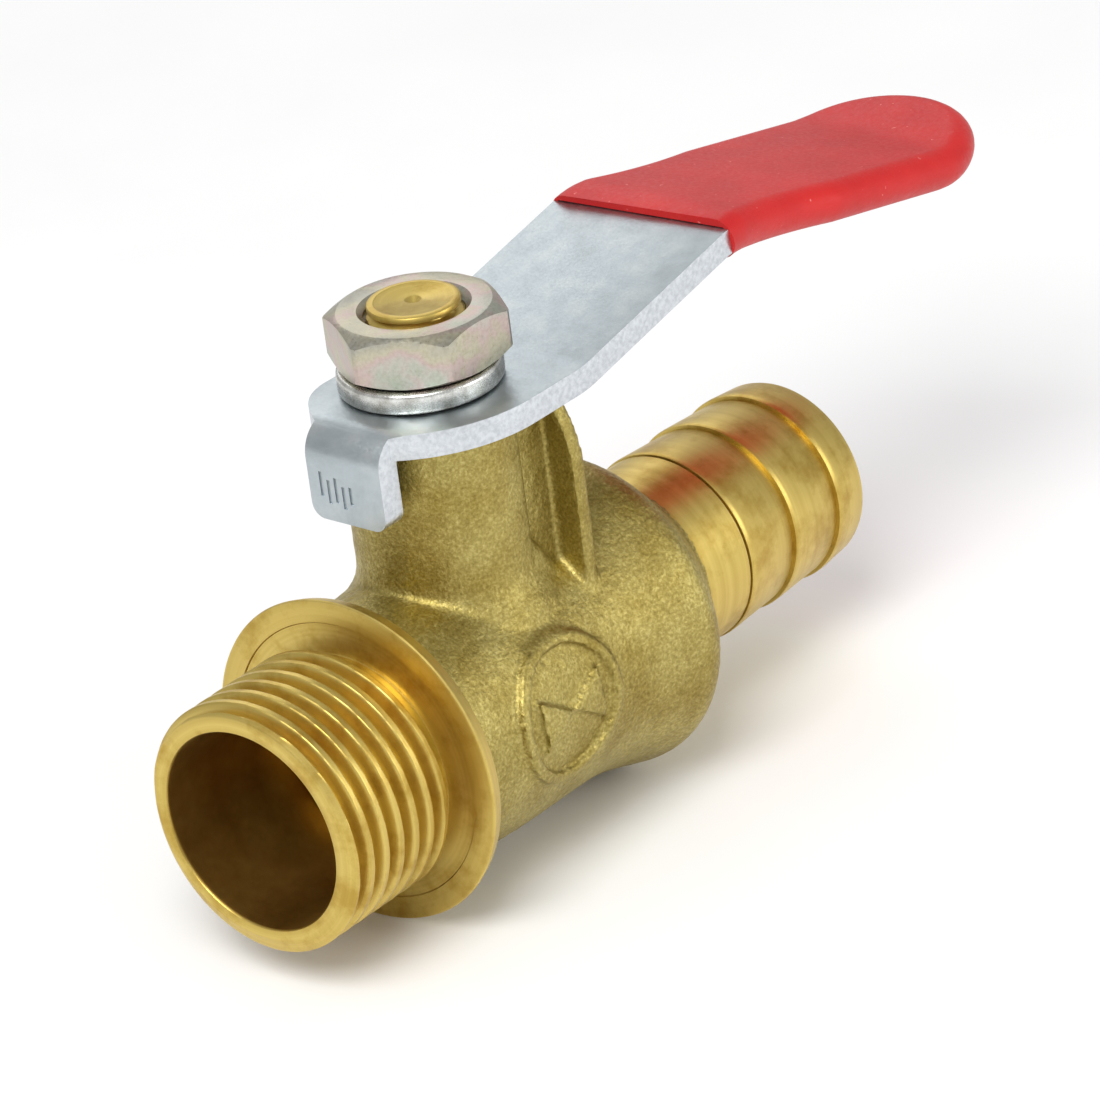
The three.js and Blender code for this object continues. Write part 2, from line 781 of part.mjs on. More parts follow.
// The pieces that turn with the lever
const turningGroup = new THREE.Group();
turningGroup.add(toMesh('stem', stem(), turnedBrass));
turningGroup.add(toMesh('stem_thrust_washer', thrustWasher(), seatPlastic));
turningGroup.add(toMesh('stem_o_ring_lower', stemORing(ringGrooveLifts[0]), blackRubber));
turningGroup.add(toMesh('stem_o_ring_upper', stemORing(ringGrooveLifts[1]), blackRubber));
turningGroup.add(toMesh('lever', lever(), zincStrip));
turningGroup.add(toMesh('lever_grip', leverGrip(), redVinyl));
turningGroup.add(toMesh('spring_washer', springWasher(), springSteel));
turningGroup.add(toMesh('lever_nut', leverNut(), zincNut));

const valve = new THREE.Group();
valve.add(fixedBody);
valve.add(toMesh('ball', ball(), chromedBrass));
valve.add(turningGroup);

export default valve;
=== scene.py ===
import math

import bpy
from mathutils import Matrix, Vector


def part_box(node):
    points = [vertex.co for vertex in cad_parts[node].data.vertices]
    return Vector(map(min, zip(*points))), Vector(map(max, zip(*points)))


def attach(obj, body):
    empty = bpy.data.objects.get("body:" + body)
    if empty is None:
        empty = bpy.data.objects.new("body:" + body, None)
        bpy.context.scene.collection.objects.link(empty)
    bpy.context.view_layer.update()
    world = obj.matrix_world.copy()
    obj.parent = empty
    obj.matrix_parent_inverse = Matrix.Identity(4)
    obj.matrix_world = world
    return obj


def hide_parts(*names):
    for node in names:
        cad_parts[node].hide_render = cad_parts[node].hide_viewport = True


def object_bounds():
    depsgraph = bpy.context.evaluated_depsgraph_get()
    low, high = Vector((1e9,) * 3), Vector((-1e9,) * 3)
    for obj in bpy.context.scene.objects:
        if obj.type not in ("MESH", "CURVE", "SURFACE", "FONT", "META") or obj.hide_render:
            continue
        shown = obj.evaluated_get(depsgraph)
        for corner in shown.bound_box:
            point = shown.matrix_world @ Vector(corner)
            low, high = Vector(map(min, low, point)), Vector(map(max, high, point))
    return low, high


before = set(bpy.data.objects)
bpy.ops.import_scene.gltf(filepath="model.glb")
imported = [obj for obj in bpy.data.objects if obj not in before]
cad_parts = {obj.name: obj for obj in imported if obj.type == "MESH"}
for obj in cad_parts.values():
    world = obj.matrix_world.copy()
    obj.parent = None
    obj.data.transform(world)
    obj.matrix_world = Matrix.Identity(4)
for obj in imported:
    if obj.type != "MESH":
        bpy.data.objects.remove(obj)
cad_low, cad_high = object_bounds()

# ---------------------------------------------------------------- body casting
# The body is one brass casting: barrel, swelling, and a tall neck with a flat-sided web that ends
# in a stop plate. Its skin keeps the grain of the sand mould, and its corners are soft.

MM = 0.001
STEM_X = 14.0

BARREL_R = 11.62
NECK_R = 7.3
NECK_TOP_Z = 24.3
NECK_BORE_R = 5.9
SPINDLE_BORE_R = 4.52
NECK_LEDGE_Z = 12.0
INLET_BORE_R = 8.41
SHOULDER_X = 22.6
THROAT_R = 5.0
THROAT_END_X = 31.6
OUTLET_BORE_R = 5.8
SHANK_R = 8.2
LEVER_YAW = math.radians(-1.67)


def new_piece(name, verts, faces):
    """A mesh piece from corners in millimetres."""
    mesh = bpy.data.meshes.new(name)
    mesh.from_pydata([Vector(v) * MM for v in verts], [], faces)
    mesh.update()
    piece = bpy.data.objects.new(name, mesh)
    bpy.context.scene.collection.objects.link(piece)
    return piece


def softened(corners, steps=4):
    """Curves each corner (a, b, blend) of an open outline over its blend length."""
    points = []
    for i, (a, b, blend) in enumerate(corners):
        here = Vector((a, b))
        if blend == 0 or i in (0, len(corners) - 1):
            points.append((a, b))
            continue
        back = Vector(corners[i - 1][:2]) - here
        ahead = Vector(corners[i + 1][:2]) - here
        start = here + back.normalized() * blend
        end = here + ahead.normalized() * blend
        for step in range(steps + 1):
            t = step / steps
            p = start.lerp(here, t).lerp(here.lerp(end, t), t)
            points.append((p.x, p.y))
    return points


def eased_loop(corners, blend, steps=3):
    """A closed outline with every corner rounded by the same small amount."""
    looped = [corners[-1], *corners, corners[0]]
    points = []
    for i in range(1, len(looped) - 1):
        trio = [(*looped[i - 1], 0), (*looped[i], blend), (*looped[i + 1], 0)]
        points += softened(trio, steps)[1:-1]
    return points


def turned(name, profile, about="pipe", segments=144, closed=True):
    """A turned piece from (place along the axis, radius); a radius may be a function of the angle.
    A closed profile is a loop off the axis; an open one is closed by flat ends."""
    verts = []
    faces = []
    for along, radius in profile:
        for k in range(segments):
            angle = 2 * math.pi * k / segments
            r = radius(angle) if callable(radius) else radius
            u, v = r * math.cos(angle), r * math.sin(angle)
            verts.append((along, u, v) if about == "pipe" else (STEM_X + v, u, along))
    rings = len(profile)
    for i in range(rings if closed else rings - 1):
        for k in range(segments):
            j, m = (i + 1) % rings, (k + 1) % segments
            faces.append(
                (i * segments + k, j * segments + k, j * segments + m, i * segments + m)
            )
    if not closed:
        last = (rings - 1) * segments
        faces.append(tuple(range(segments)))
        faces.append(tuple(last + k for k in reversed(range(segments))))
    return mend(new_piece(name, verts, faces))


def mend(piece):
    """Turns every face outwards."""
    import bmesh

    bm = bmesh.new()
    bm.from_mesh(piece.data)
    bmesh.ops.recalc_face_normals(bm, faces=bm.faces)
    bm.to_mesh(piece.data)
    bm.free()
    return piece


def slab(name, outline, low, high, along="z"):
    """An outline carried from low to high along one axis."""
    place = {
        "z": lambda a, b, c: (a, b, c),
        "y": lambda a, b, c: (a, c, b),
        "x": lambda a, b, c: (c, a, b),
    }[along]
    count = len(outline)
    verts = [place(a, b, c) for c in (low, high) for a, b in outline]
    faces = [tuple(range(count)), tuple(range(2 * count - 1, count - 1, -1))]
    faces += [(i, (i + 1) % count, count + (i + 1) % count, count + i) for i in range(count)]
    return mend(new_piece(name, verts, faces))


def oblong(low_a, high_a, low_b, high_b):
    """The four corners of a rectangle."""
    return [(low_a, low_b), (high_a, low_b), (high_a, high_b), (low_a, high_b)]


def arc(centre_a, centre_b, radius, start, end, steps):
    """Points along an arc, with its angles in degrees."""
    points = []
    for i in range(steps + 1):
        t = math.radians(start + (end - start) * i / steps)
        points.append((centre_a + radius * math.cos(t), centre_b + radius * math.sin(t)))
    return points


def settle(piece):
    """Applies a piece's modifiers."""
    graph = bpy.context.evaluated_depsgraph_get()
    mesh = bpy.data.meshes.new_from_object(piece.evaluated_get(graph))
    piece.modifiers.clear()
    piece.data = mesh
    return piece


def carve(piece, tool, how="DIFFERENCE"):
    """Cuts a piece with a tool, joins the tool to it, or keeps what they share."""
    cut = piece.modifiers.new("carve", "BOOLEAN")
    cut.operation = how
    cut.solver = "EXACT"
    cut.object = tool
    settle(piece)
    bpy.data.objects.remove(tool)
    return piece


def gather(name, parts):
    """One piece from several, as they are."""
    import bmesh

    bm = bmesh.new()
    for part in parts:
        bm.from_mesh(part.data)
        bpy.data.objects.remove(part)
    mesh = bpy.data.meshes.new(name)
    bm.to_mesh(mesh)
    bm.free()
    piece = bpy.data.objects.new(name, mesh)
    bpy.context.scene.collection.objects.link(piece)
    return piece


def shade(piece, sharp_degrees=35):
    """Smooth shading, broken at edges sharper than the angle."""
    piece.data.polygons.foreach_set("use_smooth", [True] * len(piece.data.polygons))
    piece.data.set_sharp_from_angle(angle=math.radians(sharp_degrees))
    return piece


def to_stem(piece):
    """From the lever's own frame, with its origin on the stem's axis, to its resting place."""
    turn = Matrix.Rotation(LEVER_YAW, 4, "Z")
    piece.data.transform(Matrix.Translation((STEM_X * MM, 0, 0)) @ turn)
    return piece


class Finish:
    """A procedural material on the Principled shader."""

    def __init__(self, name, **values):
        self.material = bpy.data.materials.new(name)
        self.material.use_nodes = True
        self.tree = self.material.node_tree
        self.shader = self.tree.nodes["Principled BSDF"]
        for socket, value in values.items():
            self.shader.inputs[socket.replace("_", " ")].default_value = value
        self.place = self.put("TexCoord").outputs["Object"]

    def put(self, kind, inputs=None, **settings):
        node = self.tree.nodes.new("ShaderNode" + kind)
        for key, value in settings.items():
            setattr(node, key, value)
        for key, value in (inputs or {}).items():
            if isinstance(value, bpy.types.NodeSocket):
                self.tree.links.new(value, node.inputs[key])
            else:
                node.inputs[key].default_value = value
        return node

    def noise(self, size_mm, detail=4.0, roughness=0.6, place=None):
        """Cloudy noise from 0 to 1, with blotches about this size."""
        inputs = {"Scale": 1 / (size_mm * MM), "Detail": detail, "Roughness": roughness}
        inputs["Vector"] = place or self.place
        return self.put("TexNoise", inputs).outputs["Fac"]

    def ramp(self, value, stops):
        """Colours, or greys, spread over a value from 0 to 1."""
        node = self.put("ValToRGB", {"Fac": value})
        band = node.color_ramp
        while len(band.elements) < len(stops):
            band.elements.new(0.5)
        for element, (position, colour) in zip(band.elements, stops):
            element.position = position
            grey = not isinstance(colour, tuple)
            element.color = (colour, colour, colour, 1) if grey else (*colour, 1)
        return node.outputs["Color"]

    def blend(self, share, first, second, mode="MIX"):
        """Mixes two colours by a share from 0 to 1."""
        node = self.put("Mix", data_type="RGBA", blend_type=mode)
        for index, value in ((0, share), (6, first), (7, second)):
            if isinstance(value, bpy.types.NodeSocket):
                self.tree.links.new(value, node.inputs[index])
            else:
                node.inputs[index].default_value = value
        return node.outputs[2]

    def ring_place(self, about="pipe"):
        """A place that only changes along a turned surface, so noise on it makes tool rings."""
        middle = STEM_X * MM if about == "stem" else 0
        centred = self.put("VectorMath", {0: self.place, 1: (middle, 0, 0)}, operation="SUBTRACT")
        split = self.put("SeparateXYZ", {"Vector": centred.outputs["Vector"]})
        axis, across = ("X", "Z") if about == "pipe" else ("Z", "X")
        flat = self.put("CombineXYZ", {"Y": split.outputs["Y"], across: split.outputs[across]})
        radius = self.put("VectorMath", {0: flat.outputs["Vector"]}, operation="LENGTH")
        total = self.put(
            "Math", {0: split.outputs[axis], 1: radius.outputs["Value"]}, operation="ADD"
        )
        return self.put("CombineXYZ", {"X": total.outputs["Value"]}).outputs["Vector"]

    def relief(self, *layers):
        """Bumps laid over each other: (height, depth in millimetres)."""
        normal = None
        for height, depth_mm in layers:
            inputs = {"Height": height, "Distance": depth_mm * MM, "Strength": 1.0}
            if normal:
                inputs["Normal"] = normal
            normal = self.put("Bump", inputs).outputs["Normal"]
        self.feed("Normal", normal)

    def feed(self, socket, value):
        self.tree.links.new(value, self.shader.inputs[socket])


def cast_brass():
    """Sand-cast skin: olive gold, coarse sparkling grain, darker where grime has settled."""
    brass = Finish("cast_brass", Metallic=1.0)
    grain = brass.noise(0.27, 5, 0.62)
    patches = brass.noise(5, 3)
    skin = brass.ramp(
        grain,
        [(0.3, (0.29, 0.23, 0.065)), (0.5, (0.41, 0.335, 0.105)), (0.72, (0.6, 0.51, 0.2))],
    )
    grime = brass.ramp(patches, [(0.3, (0.72, 0.66, 0.5)), (0.62, (1.0, 1.0, 1.0))])
    brass.feed("Base Color", brass.blend(1.0, skin, grime, "MULTIPLY"))
    brass.feed("Roughness", brass.ramp(brass.noise(0.5, 3), [(0.3, 0.34), (0.7, 0.56)]))
    brass.relief((grain, 0.06), (brass.noise(0.9, 3), 0.1))
    return brass.material


def turned_brass(name, about):
    """Turned brass: smooth and yellow, with fine rings left by the tool and a few stains."""
    brass = Finish(name, Metallic=1.0)
    rings = brass.noise(0.09, 5, 0.7, brass.ring_place(about))
    broad = brass.noise(0.8, 3, 0.6, brass.ring_place(about))
    stains = brass.noise(3.5, 5, 0.65)
    base = brass.ramp(broad, [(0.3, (0.55, 0.4, 0.1)), (0.7, (0.68, 0.52, 0.155))])
    worn = brass.ramp(stains, [(0.34, (0.78, 0.7, 0.52)), (0.52, (1.0, 1.0, 1.0))])
    brass.feed("Base Color", brass.blend(1.0, base, worn, "MULTIPLY"))
    brass.feed("Roughness", brass.ramp(rings, [(0.3, 0.32), (0.7, 0.46)]))
    brass.relief((rings, 0.006), (broad, 0.01), (brass.noise(0.25, 3), 0.004))
    return brass.material


def shaded_bore_brass():
    """Bored brass painted dark brown and dull, a painted shade standing in for the dim inside of the bores,
    with rings from the boring tool.
    """
    brass = Finish("shaded_bore_brass", Metallic=1.0)
    rings = brass.noise(0.2, 5, 0.7, brass.ring_place())
    stains = brass.noise(4, 5, 0.65)
    brass.feed("Base Color", brass.ramp(stains, [(0.3, (0.32, 0.17, 0.03)), (0.7, (0.48, 0.3, 0.075))]))
    brass.feed("Roughness", brass.ramp(rings, [(0.3, 0.38), (0.7, 0.52)]))
    brass.relief((rings, 0.012))
    return brass.material


CAST_BRASS = cast_brass()
SHADED_BORE_BRASS = shaded_bore_brass()
TURNED_BRASS = turned_brass("turned_brass", "pipe")


def brazen(piece, *materials):
    """Gives a piece its materials, in order."""
    piece.data.materials.clear()
    for material in materials:
        piece.data.materials.append(material)
    return piece


barrel = turned(
    "barrel",
    softened(
        [
            (0.7, 11.1, 0),
            (10, BARREL_R, 2),
            (21.4, BARREL_R, 3),
            (29.3, BARREL_R + 2.18, 1.6),
            (34.9, SHANK_R, 0.3),
            (35.6, SHANK_R, 0),
        ],
        8,
    ),
    closed=False,
)
web_half = 7.0
web_start = math.degrees(math.asin(web_half / NECK_R))
neck = slab(
    "neck",
    [(20.7, web_half), *arc(STEM_X, 0, NECK_R, web_start, 360 - web_start, 72), (20.7, -web_half)],
    0,
    NECK_TOP_Z,
)
pocket_floor_y = 6.15
pocket = [(16.15, 25), (16.15, 13.4), (17.2, 12.2), (18.65, 10), (20.8, 7), (20.8, 25)]
for side in (-1, 1):
    near, far = sorted((pocket_floor_y * side, 9 * side))
    carve(neck, slab("web_pocket", pocket, near, far, "y"))
foot_steps = [i / 10 for i in range(11)]
neck_foot = turned(
    "neck_foot",
    [(0, 8.75), *((8.6 + 3.6 * t, NECK_R + 1.45 * (1 - t) ** 2) for t in foot_steps)],
    "stem",
    closed=False,
)
plate_half = 8.85
plate_side = softened(
    [(plate_half, 0, 0), (plate_half, 20.4, 2.4), (6.9, NECK_TOP_Z, 1.2), (0, NECK_TOP_Z, 0)],
    6,
)
stop_plate = slab(
    "stop_plate",
    [*plate_side[:-1], *((-y, z) for y, z in reversed(plate_side[:-1]))],
    20.0,
    21.4,
    "x",
)
open_stop = to_stem(slab("open_stop", oblong(-9, 0, 3.55, 4.65), 20.6, 23.9))

# A plain cast badge on the barrel's side: a raised ring round the two triangles of a valve symbol.
badge_x, badge_z, badge_r = 12.8, 1.0, 5.6
badge_outer = arc(badge_x, badge_z, badge_r + 0.5, 0, 360, 64)[:-1]
badge_inner = arc(badge_x, badge_z, badge_r - 0.45, 0, 360, 64)[:-1]
badge = carve(
    slab("badge", badge_outer, -12.6, -9, "y"), slab("badge_hole", badge_inner, -13, -8, "y")
)
for side in (-1, 1):
    tip = (badge_x + 0.15 * side, badge_z)
    far = badge_x + 3.6 * side
    triangle = slab("triangle", [tip, (far, badge_z + 2.2), (far, badge_z - 2.2)], -12.6, -9, "y")
    badge = gather("badge", [badge, triangle])
badge_limit = turned("badge_limit", [(0, BARREL_R + 0.58), (29, BARREL_R + 0.58)], closed=False)
badge = carve(badge, badge_limit, "INTERSECT")

casting = gather("casting", [barrel, neck, neck_foot, stop_plate, open_stop, badge])
remesh = casting.modifiers.new("remesh", "REMESH")
remesh.mode = "VOXEL"
remesh.voxel_size = 0.23 * MM
settle(casting)

# The mould's corners are rounder at the foot of the neck than at the plate and the badge.
soft = casting.vertex_groups.new(name="foot")
for vertex in casting.data.vertices:
    x, y, z = vertex.co / MM
    radius = math.hypot(y, z)
    near_foot = 6.5 < z < 13.5 and radius < 15 and 4 < x < 25
    weight = 1.0 if near_foot else 0.0
    if x > 19.4 and z > 9.5:
        weight *= 0.25
    if weight:
        soft.add([vertex.index], weight, "REPLACE")
fine = casting.modifiers.new("fine", "SMOOTH")
fine.iterations = 2
fillet = casting.modifiers.new("fillet", "SMOOTH")
fillet.vertex_group = "foot"
fillet.iterations = 30
sand = bpy.data.textures.new("sand", "CLOUDS")
sand.noise_scale = 0.55 * MM
sand.noise_depth = 2
plate = casting.vertex_groups.new(name="plate")
for vertex in casting.data.vertices:
    if vertex.co.x > 18.5 * MM and vertex.co.z > 9.5 * MM:
        plate.add([vertex.index], 0.7, "REPLACE")
crisp = casting.modifiers.new("crisp", "SMOOTH")
crisp.vertex_group = "plate"
crisp.iterations = 4
skin = casting.modifiers.new("skin", "DISPLACE")
skin.texture = sand
skin.texture_coords = "LOCAL"
skin.strength = 0.07 * MM
skin.mid_level = 0.5
settle(casting)
brazen(casting, CAST_BRASS, SHADED_BORE_BRASS)

bore_gap = 0.02
pipe_bore = turned(
    "pipe_bore",
    [
        (0.2, INLET_BORE_R + bore_gap),
        (SHOULDER_X, INLET_BORE_R + bore_gap),
        (SHOULDER_X, THROAT_R),
        (THROAT_END_X, THROAT_R),
        (THROAT_END_X + OUTLET_BORE_R - THROAT_R, OUTLET_BORE_R + bore_gap),
        (36.5, OUTLET_BORE_R + bore_gap),
    ],
    closed=False,
)
neck_bore = turned(
    "neck_bore",
    [
        (3, SPINDLE_BORE_R),
        (NECK_LEDGE_Z, SPINDLE_BORE_R),
        (NECK_LEDGE_Z, NECK_BORE_R),
        (NECK_TOP_Z - 0.35, NECK_BORE_R),
        (NECK_TOP_Z + 1, NECK_BORE_R + 1.35),
    ],
    "stem",
    closed=False,
)
# The bores take the dark brown brass, painted shade for the inside of the recess.
for tool in (pipe_bore, neck_bore):
    brazen(tool, CAST_BRASS, SHADED_BORE_BRASS)
    tool.data.polygons.foreach_set("material_index", [1] * len(tool.data.polygons))
    carve(casting, tool)
shade(casting, 42)

# ---------------------------------------------------------------- threaded end
# The threaded end and the flange are turned from the same casting. The thread is a true helix
# with rounded crests, a lead-in at the tip and a run-out groove at the flange.

THREAD_TIP_X = -12.97
THREAD_MAJOR_R = 10.4775
THREAD_MINOR_R = 9.3155
THREAD_PITCH = 1.814
FLANGE_R = 13.75


def helix(along, pitch, minor, major, start, lead_in, end, run_out):
    """The radius of a screw thread as a function of the angle, at a place along its axis. It
    winds right-handed about the pipe. About the stem the angle runs the other way, so there it
    winds left-handed."""

    def radius(angle):
        phase = (along / pitch - angle / (2 * math.pi)) % 1.0
        ridge = 1 - abs(2 * phase - 1)
        height = min(max((ridge - 0.16) / 0.6, 0.0), 1.0)
        height = height * height * (3 - 2 * height)
        top = min(major, minor - 0.1 + (along - start) / lead_in * (major - minor + 0.1))
        fade = min(max((end - along) / run_out, 0.0), 1.0)
        return min(minor + (major - minor) * height * fade, max(top, minor - 0.1))

    return radius


thread_rows = 190
relief_x = -0.75
thread_profile = []
for row in range(thread_rows + 1):
    x = THREAD_TIP_X + (relief_x - THREAD_TIP_X) * row / thread_rows
    ring = helix(x, THREAD_PITCH, THREAD_MINOR_R, THREAD_MAJOR_R, THREAD_TIP_X - 0.35, 0.75, relief_x, 0.9)
    thread_profile.append((x, ring))
thread_end = turned(
    "thread_end",
    [
        *thread_profile,
        (-0.5, 9.16),
        (0.02, 9.16),
        (0.12, 9.3),
        (0.12, 11.76),
        (0.0, 11.86),
        (0.0, FLANGE_R - 0.22),
        (0.06, FLANGE_R - 0.06),
        (0.2, FLANGE_R),
        (1.12, FLANGE_R - 0.3),
        (1.34, FLANGE_R - 0.42),
        (1.4, FLANGE_R - 0.6),
        (1.4, 10.6),
        (1.15, 10.4),
        (1.15, INLET_BORE_R),
        (-12.6, INLET_BORE_R),
        (THREAD_TIP_X + 0.18, INLET_BORE_R + 0.02),
        (THREAD_TIP_X + 0.04, INLET_BORE_R + 0.12),
        (THREAD_TIP_X, INLET_BORE_R + 0.28),
        (THREAD_TIP_X, 9.1),
    ],
    segments=240,
)
brazen(shade(thread_end, 40), TURNED_BRASS, SHADED_BORE_BRASS)
# Faces inside the bore take the dark brown brass, painted shade for the inside of the bore.
for face in thread_end.data.polygons:
    centre = face.center / MM
    face.material_index = int(math.hypot(centre.y, centre.z) < INLET_BORE_R + 0.01)

# ---------------------------------------------------------------- hose barb
# The barb is turned too: a plain shank, then three teeth that are highest on the side away from
# the tip, so a hose slides on and grips. Light grooves from the tool cross the whole length.

SHANK_START_X = 33.8
BARB_END_X = 56.43
TOOTH_EDGES = (40.63, 46.575, 52.52)

barb_profile = [(SHANK_START_X, SHANK_R), (TOOTH_EDGES[0] - 0.12, SHANK_R)]
for edge, following in zip(TOOTH_EDGES, (*TOOTH_EDGES[1:], BARB_END_X)):
    foot_r = SHANK_R - 0.16
    last = following == BARB_END_X
    barb_profile += [
        (edge - 0.08, foot_r - 0.06),
        (edge + 0.02, foot_r - 0.06),
        (edge + 0.06, SHANK_R + 0.1),
        (edge + 0.18, SHANK_R + 0.15),
        (edge + 0.6, SHANK_R + 0.14),
        (following - (0.5 if last else 0.3), SHANK_R - 0.13),
    ]
barb_profile += [
    (BARB_END_X - 0.18, SHANK_R - 0.26),
    (BARB_END_X, SHANK_R - 0.5),
    (BARB_END_X, OUTLET_BORE_R + 0.35),
    (BARB_END_X - 0.1, OUTLET_BORE_R + 0.12),
    (BARB_END_X - 0.35, OUTLET_BORE_R),
    (SHANK_START_X, OUTLET_BORE_R),
]
hose_barb = turned("hose_barb", barb_profile, segments=192)
brazen(shade(hose_barb, 30), TURNED_BRASS)

for piece in (casting, thread_end, hose_barb):
    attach(piece, "body")
    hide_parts("valve_body")

# ---------------------------------------------------------------- ball
# A hard-chromed brass ball. Its port lines up with the pipe when the lever does, and the slot on
# its top takes the stem's tang.

BALL_R = 8.15
PORT_R = 4.8
SLOT_FLOOR_Z = 6.0


def chromed_brass():
    """Polished chrome, with the faint swirls of buffing and a slight haze."""
    chrome = Finish("chromed_brass", Metallic=1.0)
    haze = chrome.noise(1.6, 4)
    swirls = chrome.noise(0.12, 5, 0.7)
    chrome.feed("Base Color", chrome.ramp(haze, [(0.3, (0.62, 0.63, 0.64)), (0.7, (0.78, 0.79, 0.8))]))
    chrome.feed("Roughness", chrome.ramp(swirls, [(0.3, 0.07), (0.7, 0.18)]))
    chrome.relief((swirls, 0.002))
    return chrome.material


ball_rows = 48
ball_profile = []
for row in range(1, ball_rows):
    turn = math.pi * row / ball_rows
    ball_profile.append((-BALL_R * math.cos(turn), BALL_R * math.sin(turn)))
ball = turned("ball_sphere", ball_profile, "stem", 96, closed=False)
carve(
    ball,
    turned("port", [(STEM_X - 10, PORT_R), (STEM_X + 10, PORT_R)], segments=96, closed=False),
)
slot_half = 1.7
carve(
    ball,
    slab(
        "slot",
        oblong(STEM_X - slot_half, STEM_X + slot_half, -10, 10),
        SLOT_FLOOR_Z,
        10,
    ),
)
edge_break = ball.modifiers.new("edge_break", "BEVEL")
edge_break.width = 0.12 * MM
edge_break.segments = 2
edge_break.limit_method = "ANGLE"
edge_break.angle_limit = math.radians(40)
settle(ball)
ball.name = "ball_bored"
brazen(shade(ball), chromed_brass())
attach(ball, "ball")
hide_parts("ball")

# ---------------------------------------------------------------- seats
# Two fluoroplastic rings hold the ball from both sides. Their inner corners are dished to its
# curve, and they are slightly waxy and off-white.

SEAT_INNER_R = 5.1
SEAT_BACK = 8.55


def seat_plastic():
    """White fluoroplastic: waxy, with faint turning rings and a few grey smears."""
    plastic = Finish("seat_plastic", Subsurface_Weight=0.1)
    plastic.shader.inputs["Subsurface Radius"].default_value = (0.0012, 0.001, 0.0009)
    smear = plastic.noise(2.4, 4)
    rings = plastic.noise(0.15, 3, 0.6, plastic.ring_place())
    plastic.feed("Base Color", plastic.ramp(smear, [(0.3, (0.72, 0.71, 0.67)), (0.6, (0.88, 0.87, 0.84))]))
    plastic.feed("Roughness", plastic.ramp(rings, [(0.3, 0.34), (0.7, 0.5)]))
    plastic.relief((rings, 0.01))
    return plastic.material


SEAT_PLASTIC = seat_plastic()


def seat(name, node, direction):
    dish_r = BALL_R + 0.1
    land = [SEAT_INNER_R + 1.4 * i / 6 for i in range(7)]
    dish = [(math.sqrt(dish_r**2 - r**2), r) for r in land]
    face = dish[-1][0]
    outer = INLET_BORE_R - 0.1
    back = [(SEAT_BACK, outer - 0.25), (SEAT_BACK, SEAT_INNER_R + 0.2), (SEAT_BACK - 0.2, SEAT_INNER_R)]
    rim = [(face, outer - 0.2), (face + 0.2, outer), (SEAT_BACK - 0.25, outer)]
    profile = [(STEM_X + direction * x, r) for x, r in (*dish, *rim, *back)]
    ring = brazen(shade(turned(name, profile, segments=120)), SEAT_PLASTIC)
    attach(ring, "body")
    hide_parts(node)


seat("inlet_seat_ring", "inlet_seat", -1)
seat("outlet_seat_ring", "outlet_seat", 1)

# ---------------------------------------------------------------- seat retainer
# A brass ring screwed in from the threaded end presses both seats on the ball. Two slots in its
# front take the tool.

retainer_low, retainer_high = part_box("seat_retainer")
front_x, back_x = retainer_low.x / MM, retainer_high.x / MM
retainer_r = 8.28
retainer_bore_r = 5.6
retainer = turned(
    "retainer_ring",
    [
        (front_x, retainer_bore_r + 0.4),
        (front_x, retainer_r - 0.35),
        (front_x + 0.3, retainer_r),
        (back_x - 0.2, retainer_r),
        (back_x, retainer_r - 0.2),
        (back_x, retainer_bore_r),
        (front_x + 0.35, retainer_bore_r),
    ],
    segments=120,
)
key_half = 1.1
key_slot = slab(
    "key_slot",
    oblong(-9, 9, -key_half, key_half),
    front_x - 1,
    front_x + 1.4,
    "x",
)
carve(retainer, key_slot)
brazen(shade(retainer), TURNED_BRASS)
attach(retainer, "body")
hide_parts("seat_retainer")

# ---------------------------------------------------------------- stem
# The stem is turned brass: a tang that drives the ball, a collar with two seal grooves, a pair of
# flats for the lever and a threaded end that stands a little proud of the nut.

STEM_TOP_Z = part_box("stem")[1].z / MM
LEVER_TOP_Z = 26.8
LEVER_BOTTOM_Z = 24.7
RING_Z = (15.1, 17.1)
LAND_R = 5.78
GROOVE_R = 4.48
SPINDLE_R = 4.4
STEM_THREAD_R = 3.95
STEM_THREAD_MINOR_R = 3.3
STEM_THREAD_PITCH = 1.25

stem_profile = [
    (8.72, SPINDLE_R - 0.2),
    (8.92, SPINDLE_R),
    (12.7, SPINDLE_R),
    (12.7, LAND_R - 0.1),
    (12.8, LAND_R),
]
for z in RING_Z:
    stem_profile += [(z - 0.75, LAND_R), (z - 0.75, GROOVE_R), (z + 0.75, GROOVE_R), (z + 0.75, LAND_R)]
stem_profile += [
    (18.1, LAND_R),
    (18.2, LAND_R - 0.1),
    (18.2, SPINDLE_R),
    (LEVER_BOTTOM_Z - 0.15, SPINDLE_R),
    (LEVER_BOTTOM_Z - 0.05, SPINDLE_R - 0.1),
    (LEVER_BOTTOM_Z - 0.05, STEM_THREAD_R),
    (LEVER_TOP_Z, STEM_THREAD_R),
]
stem_thread_rows = 64
thread_low_z, thread_high_z = LEVER_TOP_Z + 0.05, STEM_TOP_Z - 0.62
for row in range(stem_thread_rows + 1):
    z = thread_low_z + (thread_high_z - thread_low_z) * row / stem_thread_rows
    thread_r = helix(
        z,
        STEM_THREAD_PITCH,
        STEM_THREAD_MINOR_R,
        STEM_THREAD_R,
        thread_low_z - 2,
        0.5,
        thread_high_z,
        0.5,
    )
    stem_profile.append((z, thread_r))
